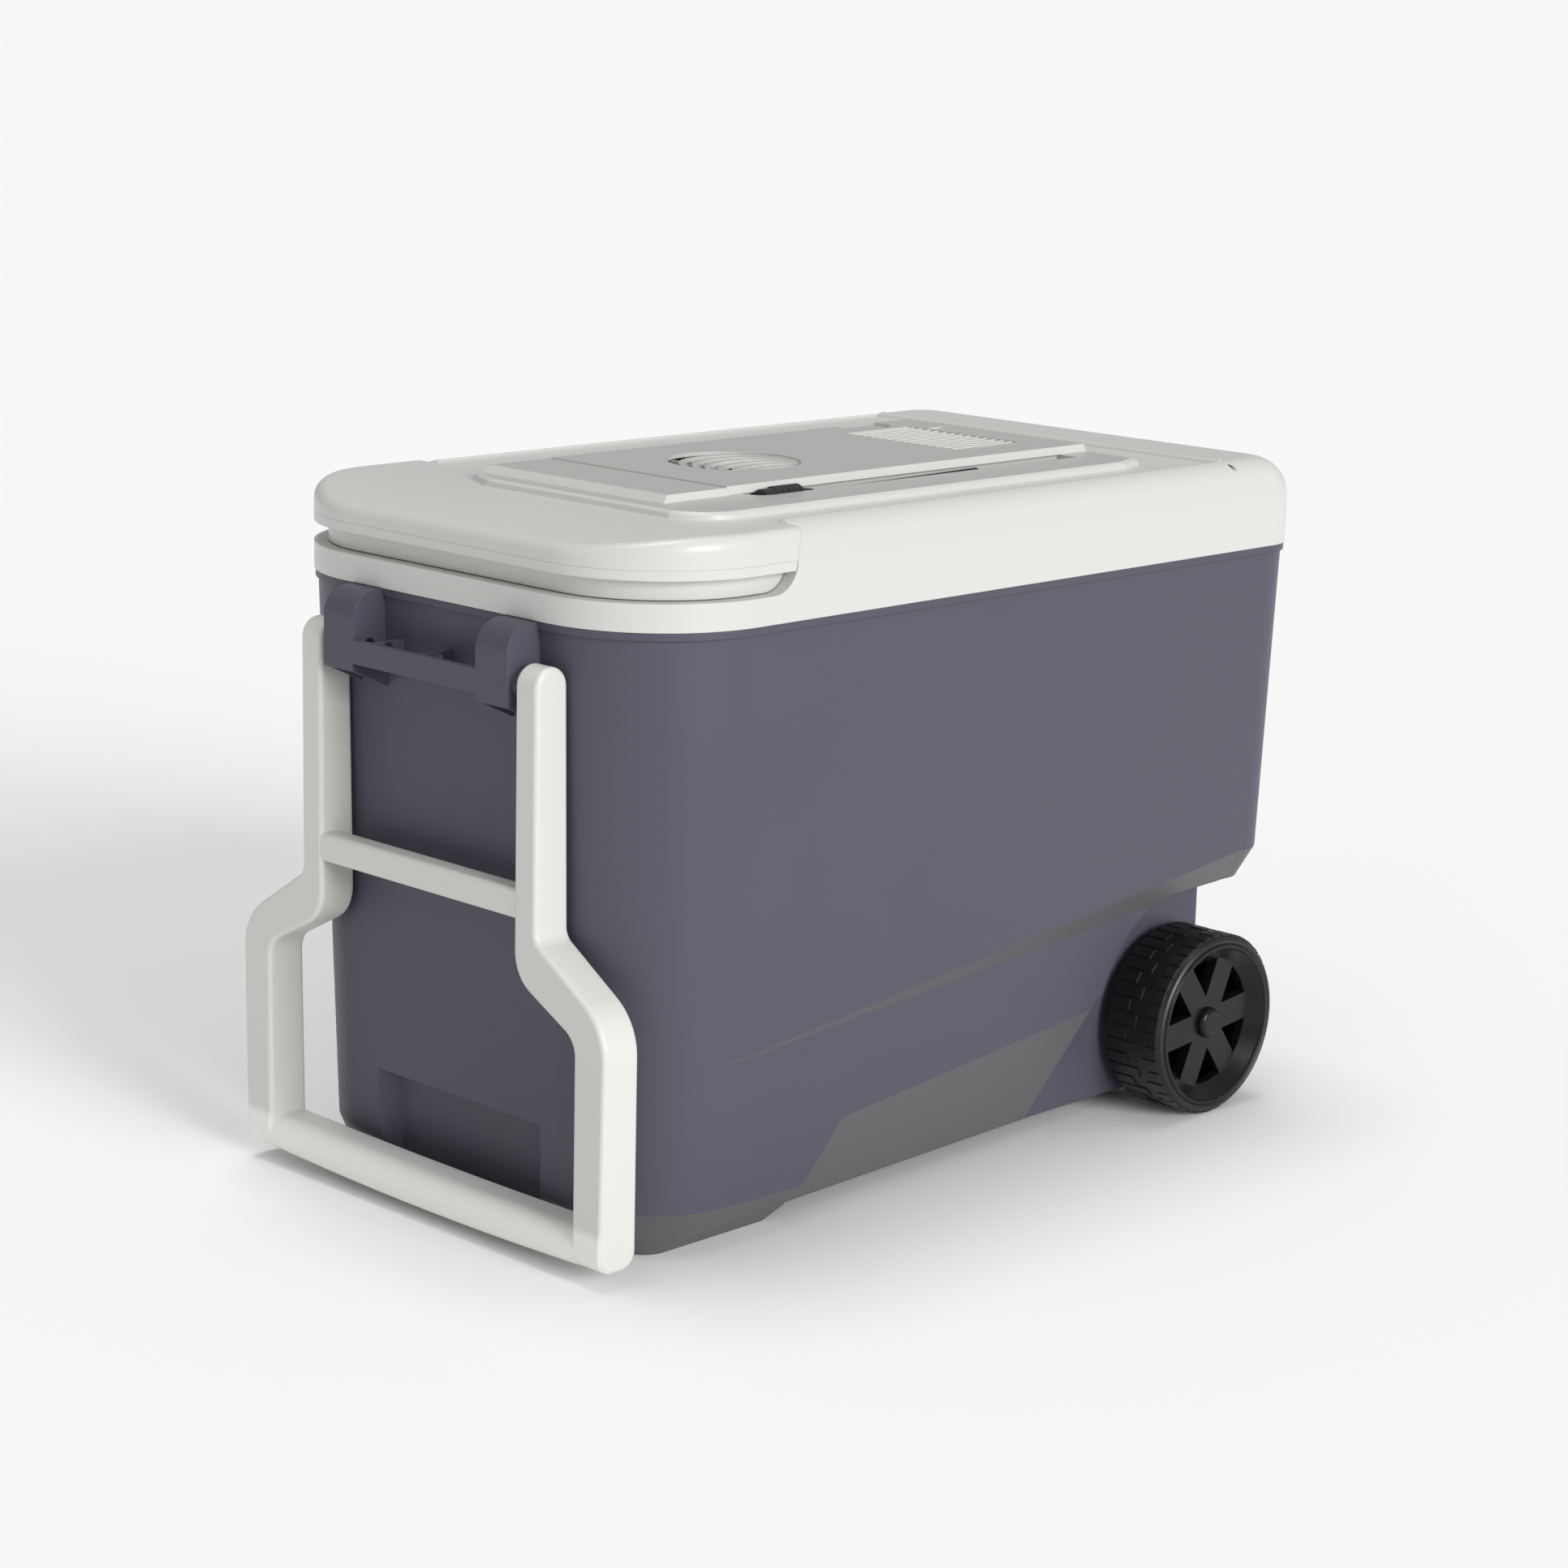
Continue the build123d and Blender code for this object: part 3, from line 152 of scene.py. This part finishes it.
looks = {
    body_plastic: ["body_shell", "carry_bracket"],
    trim_plastic: ["trim_collar", "lid_shell", "lid_pan", "vent_cover"],
    handle_plastic: ["pull_handle"],
    wheel_plastic: ["wheel_rim_near", "wheel_rim_far", "hub_cap_near", "hub_cap_far"],
    tread_plastic: ["wheel_tyre_near", "wheel_tyre_far"],
    black_plastic: ["hot_fan_frame", "hot_fan_rotor", "cold_fan_frame", "cold_fan_rotor", "lead_gland",
                    "power_plug", "axle_washers"],
    liner_plastic: ["inner_liner", "cold_fan_cover", "peltier_module"],
    foam_look: ["body_foam", "lid_foam"],
    seal_look: ["lid_gasket"],
    fin_look: ["hot_heat_sink", "cold_heat_sink", "cold_block"],
    steel_look: ["hinge_pin", "bracket_screws", "handle_pins", "axle", "push_nuts", "lid_screws",
                 "fan_screws", "tray_screws"],
    cord_look: ["power_cord"],
}
for material, names in looks.items():
    for name in names:
        mesh = nodes[name].data
        mesh.materials.clear()
        mesh.materials.append(material)

# ---------------------------------------------------------------- floor
reach = 400.0
floor_tone = 0.95
corners = [(-reach, -reach, 0), (reach, -reach, 0), (reach, reach, 0), (-reach, reach, 0)]
floor_mesh = bpy.data.meshes.new("floor")
floor_mesh.from_pydata(corners, [], [(0, 1, 2, 3)])
floor = bpy.data.objects.new("floor", floor_mesh)
scene.collection.objects.link(floor)
floor_look = bpy.data.materials.new("floor_look")
floor_look.use_nodes = True
floor_surface = floor_look.node_tree.nodes["Principled BSDF"]
floor_surface.inputs["Base Color"].default_value = (floor_tone, floor_tone, floor_tone, 1)
floor_surface.inputs["Roughness"].default_value = 1.0
floor_surface.inputs["Specular IOR Level"].default_value = 0.0
floor_mesh.materials.append(floor_look)

# ---------------------------------------------------------------- light
sky_strength = 0.37
world = bpy.data.worlds.new("studio")
scene.world = world
world.use_nodes = True
sky = world.node_tree.nodes["Background"]
sky.inputs["Color"].default_value = (1.0, 1.0, 1.0, 1)
sky.inputs["Strength"].default_value = sky_strength


def lamp(name, direction, power, spread):
    """A broad, even light that shines along a direction, with its spread in degrees."""
    data = bpy.data.lights.new(name, "SUN")
    data.energy = power
    data.angle = math.radians(spread)
    light = bpy.data.objects.new(name, data)
    light.rotation_euler = Vector(direction).to_track_quat("-Z", "Y").to_euler()
    scene.collection.objects.link(light)


lamp("key", (0.06, 0.90, -0.31), 2.42, 28)
lamp("top", (-0.04, -0.14, -1.0), 1.12, 26)
lamp("left", (0.95, 0.20, -0.20), 0.20, 30)

# ---------------------------------------------------------------- camera
sensor_width = 36.0
# the focal length as a share of the picture's width
focal_share = 4460.0 / 1932.0
eye = Vector((-1.6741, -1.6330, 0.7650))
# right, up and backward directions of the view
right = Vector((0.702172, -0.711632, 0.023109))
up = Vector((0.143093, 0.172835, 0.974501))
back = Vector((-0.697480, -0.680961, 0.223190))
camera_data = bpy.data.cameras.new("camera")
camera_data.sensor_width = sensor_width
camera_data.lens = sensor_width * focal_share
camera_data.clip_end = 2.5 * reach
camera = bpy.data.objects.new("camera", camera_data)
turn = Matrix((right, up, back)).transposed().to_4x4()
camera.matrix_world = Matrix.Translation(eye) @ turn
scene.collection.objects.link(camera)
bpy.context.scene.camera = camera
scene.view_settings.view_transform = "Standard"
